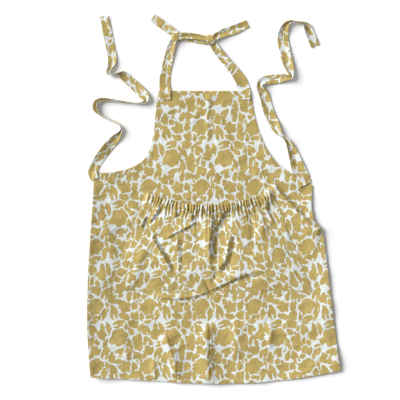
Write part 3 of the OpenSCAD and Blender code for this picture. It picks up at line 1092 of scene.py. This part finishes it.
RIGHT_WAIST_TIE = [
    (266, 44, 0.2, 42, 0, 0), (254, 70, 0.3, 42, 0, 2), (241, 101, 0.8, 37, -4, 8),
    (227, 138, 1, 31, -8, 20), (211, 172, 1.5, 24, 0, 60), (198, 188, 2, 23, 20, 74),
    (187, 200, 1.5, 26, 10, 46), (170, 230, 0.8, 30, 0, 10), (155, 267, 0.8, 30, 0, 8),
    (145, 305, 0.8, 29, 0, 12), (134, 328, 2, 26, 14, 46), (143, 344, 2.5, 26, 8, 30),
    (176, 350, 1, 27, 0, 10), (206, 354, 2, 24, 10, 40), (224, 352, 3, 23, 30, 62),
    (226, 366, 2, 25, 20, 52), (216, 392, 1, 30, 0, 20), (206, 430, 0.8, 31, 0, 8),
    (200, 470, 0.8, 32, 0, 10), (205, 500, 1.5, 27, 0, 40), (220, 515, 1.5, 23, 0, 72),
    (240, 514, 1.2, 23, 0, 82), (258, 511, 1.2, 24, 4, 74), (270, 499, 1, 26, 10, 26),
    (280, 478, 0.8, 27, 12, 8), (294, 446, 0.3, 26, 6, 4),
]
LEFT_NECK_TIE = [
    (-141, 291, 0.2, 30, 0, 0), (-141, 318, 0.2, 32, 0, 4), (-142, 350, 0.5, 31, 0, 7),
    (-136, 388, 0.5, 28, 0, 8), (-128, 425, 0.8, 25, 0, 10), (-121, 450, 1.5, 23, 0, 20),
    (-111, 466, 4, 20, 10, 40), (-94, 473, 4, 22, 10, 24), (-70, 472, 1, 25, 0, 14),
    (-44, 467, 0.6, 26, 0, 12), (-22, 463, 2, 22, 0, 26), (-6, 465, 4.5, 20, 0, 40),
    (10, 475, 3, 23, 0, 34), (34, 486, 1, 26, 0, 18), (62, 495, 0.6, 26, 0, 12),
    (98, 511, 0.3, 22, 0, 4),
]
RIGHT_NECK_TIE = [
    (88, 291, 0.2, 34, 0, 0), (87, 318, 0.2, 35, 0, 4), (80, 344, 0.5, 33, 0, 8),
    (62, 370, 0.5, 29, 0, 12), (38, 398, 0.6, 25, 0, 14), (12, 430, 0.8, 24, 0, 18),
    (-4, 452, 1.5, 22, 0, 26), (-20, 464, 5, 19, -10, 44), (-46, 472, 3.5, 19, 0, 40),
    (-72, 474, 3.5, 19, 0, 40), (-96, 474, 5, 19, -10, 44), (-114, 483, 2, 22, 0, 30),
    (-134, 497, 0.8, 24, 0, 14), (-178, 528, 0.3, 26, 0, 4),
]


KNOT_CUT = (60, 12)  # where a knot's cloth is cut from the print


def knot_wrap(name, x, y, turn, length=25, reach=14.5, height=12.5):
    """The cloth of a knot, drawn tightly round the ties that cross in it."""
    rows = [(-0.8, 0.3)]
    rows += [(t, 1 - 0.42 * abs(t) ** 2.6) for t in np.linspace(-1, 1, 25)]
    rows.append((0.8, 0.3))
    around = 48
    angle = np.arange(around) * 2 * math.pi / around
    turn = math.radians(turn)
    points, cloth_map = [], []
    for t, size in rows:
        crease = 0.09 * np.sin(3 * angle + 3.4 * t + 1) + 0.06 * np.sin(7 * angle - 5 * t)
        size = size * (1 + crease)
        u = reach * size * np.cos(angle)
        v = length / 2 * t + 2.2 * np.sin(angle)
        z = np.maximum(height / 2 * (1 + size * np.sin(angle)), 0.2)
        points.append(np.column_stack([
            x + v * math.cos(turn) - u * math.sin(turn),
            y + v * math.sin(turn) + u * math.cos(turn), z]))
        cloth_map.append(np.column_stack([angle * reach * 0.8, v + np.zeros(around)]))
    made = piece(name, np.concatenate(points), tube_faces(len(rows), around),
                 np.concatenate(cloth_map) + KNOT_CUT, printed)
    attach(made, "neck_loop")
    return made


def tie_blend(made, joint, reach_before, reach_after):
    """Finds the tie's joint and works out the way away from its axis, then bakes the tie's
    transform into its mesh.
    """
    found = next(j for j in frame["joints"] if j["name"] == joint)
    axis = Vector(found["axis"])
    away = Vector((0, 0, 1)).cross(axis).normalized()
    if away.dot(Vector((0, 1, 0))) < 0:
        away = -away
    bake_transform(made)


TIES = [
    ("left_waist_tie", LEFT_WAIST_TIE, "left_tie_fold", 1),
    ("right_waist_tie", RIGHT_WAIST_TIE, "right_tie_fold", 2),
    ("left_neck_tie", LEFT_NECK_TIE, "neck_loop_fold", 3),
    ("right_neck_tie", RIGHT_NECK_TIE, "neck_loop_fold", 4),
]
# Each neck tie runs through both knots, and its loose end leaves the far one
KNOTS = {"left_neck_tie": [knot_wrap("right_knot_cloth", -9, 465, 52)],
         "right_neck_tie": [knot_wrap("left_knot_cloth", -109, 470, 128)]}
TIE_BEND = (0.004, 0.012)  # metres of tie before and after the joint, passed to tie_blend
for tie_name, tie_route, tie_joint, tie_seed in TIES:
    strap, strap_length = tie(tie_name + "_cloth", tie_route, tie_seed)
    tie_blend(strap, tie_joint, *TIE_BEND)
    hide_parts(tie_name, tie_name + "_end")


# ---- the thread
def sewn(name, points, faces):
    """A piece of thread, from its stitches."""
    made = piece(name, points, faces, points[:, :2], thread)
    return made


def thread_piece(name, rows, surface, seed, pitch=STITCH_PITCH, length=STITCH):
    """Rows of stitches on the apron's body. They lie on a surface, which is a
    function that gives plan points their height."""
    points, faces, base = [], [], 0
    for number, path in enumerate(rows):
        places = even(path, pitch)
        run = np.gradient(places, axis=0)
        z = surface(places) + STITCH_LEVEL
        ahead = surface(places + 0.4 * run) - surface(places - 0.4 * run)
        runs = np.column_stack([run, ahead / 0.8])
        row_points, row_faces = stitches(
            np.column_stack([places, z]), runs, seed + number, length)
        points.append(row_points)
        faces += [tuple(base + i for i in face) for face in row_faces]
        base += len(row_points)
    made = sewn(name, np.concatenate(points), faces)
    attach(made, "apron")
    return made


def inset(path, distance):
    """A path moved to its right."""
    path = even(path, 3)
    return path - across(path) * distance


edge_rows = [
    inset(part_of(left_armhole, 0.01, 0.99), SIDE_HEM_WIDTH - 2),
    inset(part_of(right_armhole, 0.02, 0.97), SIDE_HEM_WIDTH - 2),
    inset(part_of(left_side, 0.03, 0.97), SIDE_HEM_WIDTH - 2),
    inset(part_of(right_side, 0.02, 0.96), SIDE_HEM_WIDTH - 2),
    inset(part_of(bottom, 0.015, 0.985), BOTTOM_HEM_WIDTH - 2),
    inset(bib_top + [(9, 0), (-9, 0)], FACING_WIDTH - 2),
]
edge_stitching = thread_piece("edge_stitches", edge_rows, drape, 41)
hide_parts("edge_stitching")


def pocket_seam_height(points):
    """Height of the pocket's cloth close to its seams."""
    return drape(points) + SEAM_RISE + CLOTH + 0.1


SEAM_INSET = 2.5  # of the stitches from the pocket's edge
seam_rows = [inset(seam, SEAM_INSET)[2:-2] for _, seam in POCKET_SEAMS]
seam_stitching = thread_piece("pocket_seam_stitches", seam_rows, pocket_seam_height, 51)


def bar_tack(x, y, turn, width=4.5, length=15):
    """A dense zigzag of thread across the end of a seam."""
    count = 22
    turn = math.radians(turn)
    along_it = np.linspace(-length / 2, length / 2, count)
    across_it = np.where(np.arange(count) % 2 == 0, -width / 2, width / 2)
    return np.stack([x + along_it * math.cos(turn) - across_it * math.sin(turn),
                     y + along_it * math.sin(turn) + across_it * math.cos(turn)], axis=1)


# The bar tacks at the pocket's corners: x, y and turn
TACKS = [(-300, -258, 72), (279, -258, 112), (-194, 16, 68), (165, 22, 112)]
tack_stitching = thread_piece(
    "bar_tack_stitches", [bar_tack(*row) for row in TACKS],
    lambda p: pocket_seam_height(p) + 0.2, 61, 1.1, 1.9)
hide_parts("pocket_bar_tacks")


def casing_stitches(name, low, high, seed):
    """The row that closes the casing, on half of the pocket."""
    shares = np.linspace(low, high, round((high - low) * MOUTH_REACH / 3.0))
    full = np.full(len(shares), 1.0)
    places, _ = pocket_point(shares, CASING * full, CASING_RISE * full, 0 * full)
    places[:, 2] += STITCH_LEVEL
    made = sewn(name, *stitches(places, np.gradient(places, axis=0), seed))
    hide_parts("pocket_stitching")
    half_blend(made, low < 0)
    return made


casing_left = casing_stitches("casing_stitches_left_half", -0.97, SPLIT - 0.01, 71)
casing_right = casing_stitches("casing_stitches_right_half", SPLIT + 0.01, 0.97, 72)


def stitched_box(x, y, width, height, turn=0):
    """A stitched rectangle with a cross in it, as four sides and two runs."""
    c, s = math.cos(math.radians(turn)), math.sin(math.radians(turn))
    corner = [(-1, -1), (1, -1), (1, 1), (-1, 1)]
    spots = [(x + (a * width * c - b * height * s) / 2, y + (a * width * s + b * height * c) / 2)
             for a, b in corner]
    pairs = [(0, 1), (1, 2), (2, 3), (3, 0), (0, 2), (1, 3)]
    return [np.array([spots[a], spots[b]]) for a, b in pairs]


boxes = (stitched_box(-141, 303, 20, 18) + stitched_box(88, 303, 24, 18)
         + stitched_box(-345.5, 66, 14, 9, 12) + stitched_box(263, 51, 30, 10, 22))
tie_stitching = thread_piece(
    "tie_stitches", boxes, lambda p: drape(p) + TIE + 0.35, 81, 2.7, 2.1)
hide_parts("tie_stitching")


# ---- floor, light and camera
VIEW_WIDTH = 1.16  # metres of table across the picture
CAMERA_HEIGHT = 4.0
CAMERA_OVER = (-0.040, -0.003)
TABLE_REACH = 40  # metres
WINDOW = (-2.6, 1.25, 1.75)  # the direction of the window
WINDOW_SPREAD = 34  # degrees
WINDOW_POWER = 4.36
SKY_POWER = 0.34


def table():
    """The pale surface that the apron lies on."""
    s = Shader("table")
    place = s.put("TexCoord", output="Object")
    grain = s.noise(place, 30.0, 4.0)
    colour = s.mix(grain, (0.95, 0.95, 0.95, 1), (0.98, 0.98, 0.98, 1))
    s.finish(Base_Color=colour, Roughness=0.9)
    size = TABLE_REACH
    corners = [(-size, -size, 0), (size, -size, 0), (size, size, 0), (-size, size, 0)]
    mesh = bpy.data.meshes.new("table")
    mesh.from_pydata(corners, [], [(0, 1, 2, 3)])
    mesh.materials.append(s.material)
    in_scene("table", mesh)


def lamp(name, direction, spread, power):
    """A broad soft light, even over the whole table, from one direction."""
    light = bpy.data.lights.new(name, "SUN")
    light.angle = math.radians(spread)
    light.energy = power
    made = in_scene(name, light)
    made.location = direction
    made.rotation_euler = (-Vector(direction)).to_track_quat("-Z", "Y").to_euler()


def sky(strength):
    """An even white light from all round."""
    world = bpy.data.worlds.new("sky")
    world.use_nodes = True
    back = world.node_tree.nodes["Background"]
    back.inputs["Color"].default_value = (1, 1, 1, 1)
    back.inputs["Strength"].default_value = strength
    bpy.context.scene.world = world


def camera():
    """A camera that looks straight down, as the photo's does."""
    lens = bpy.data.cameras.new("camera")
    lens.sensor_fit = "HORIZONTAL"
    lens.angle = 2 * math.atan(VIEW_WIDTH / 2 / CAMERA_HEIGHT)
    made = in_scene("camera", lens)
    made.location = (*CAMERA_OVER, CAMERA_HEIGHT)
    bpy.context.scene.camera = made


table()
lamp("window", WINDOW, WINDOW_SPREAD, WINDOW_POWER)
sky(SKY_POWER)
camera()
bpy.context.scene.view_settings.view_transform = "Standard"
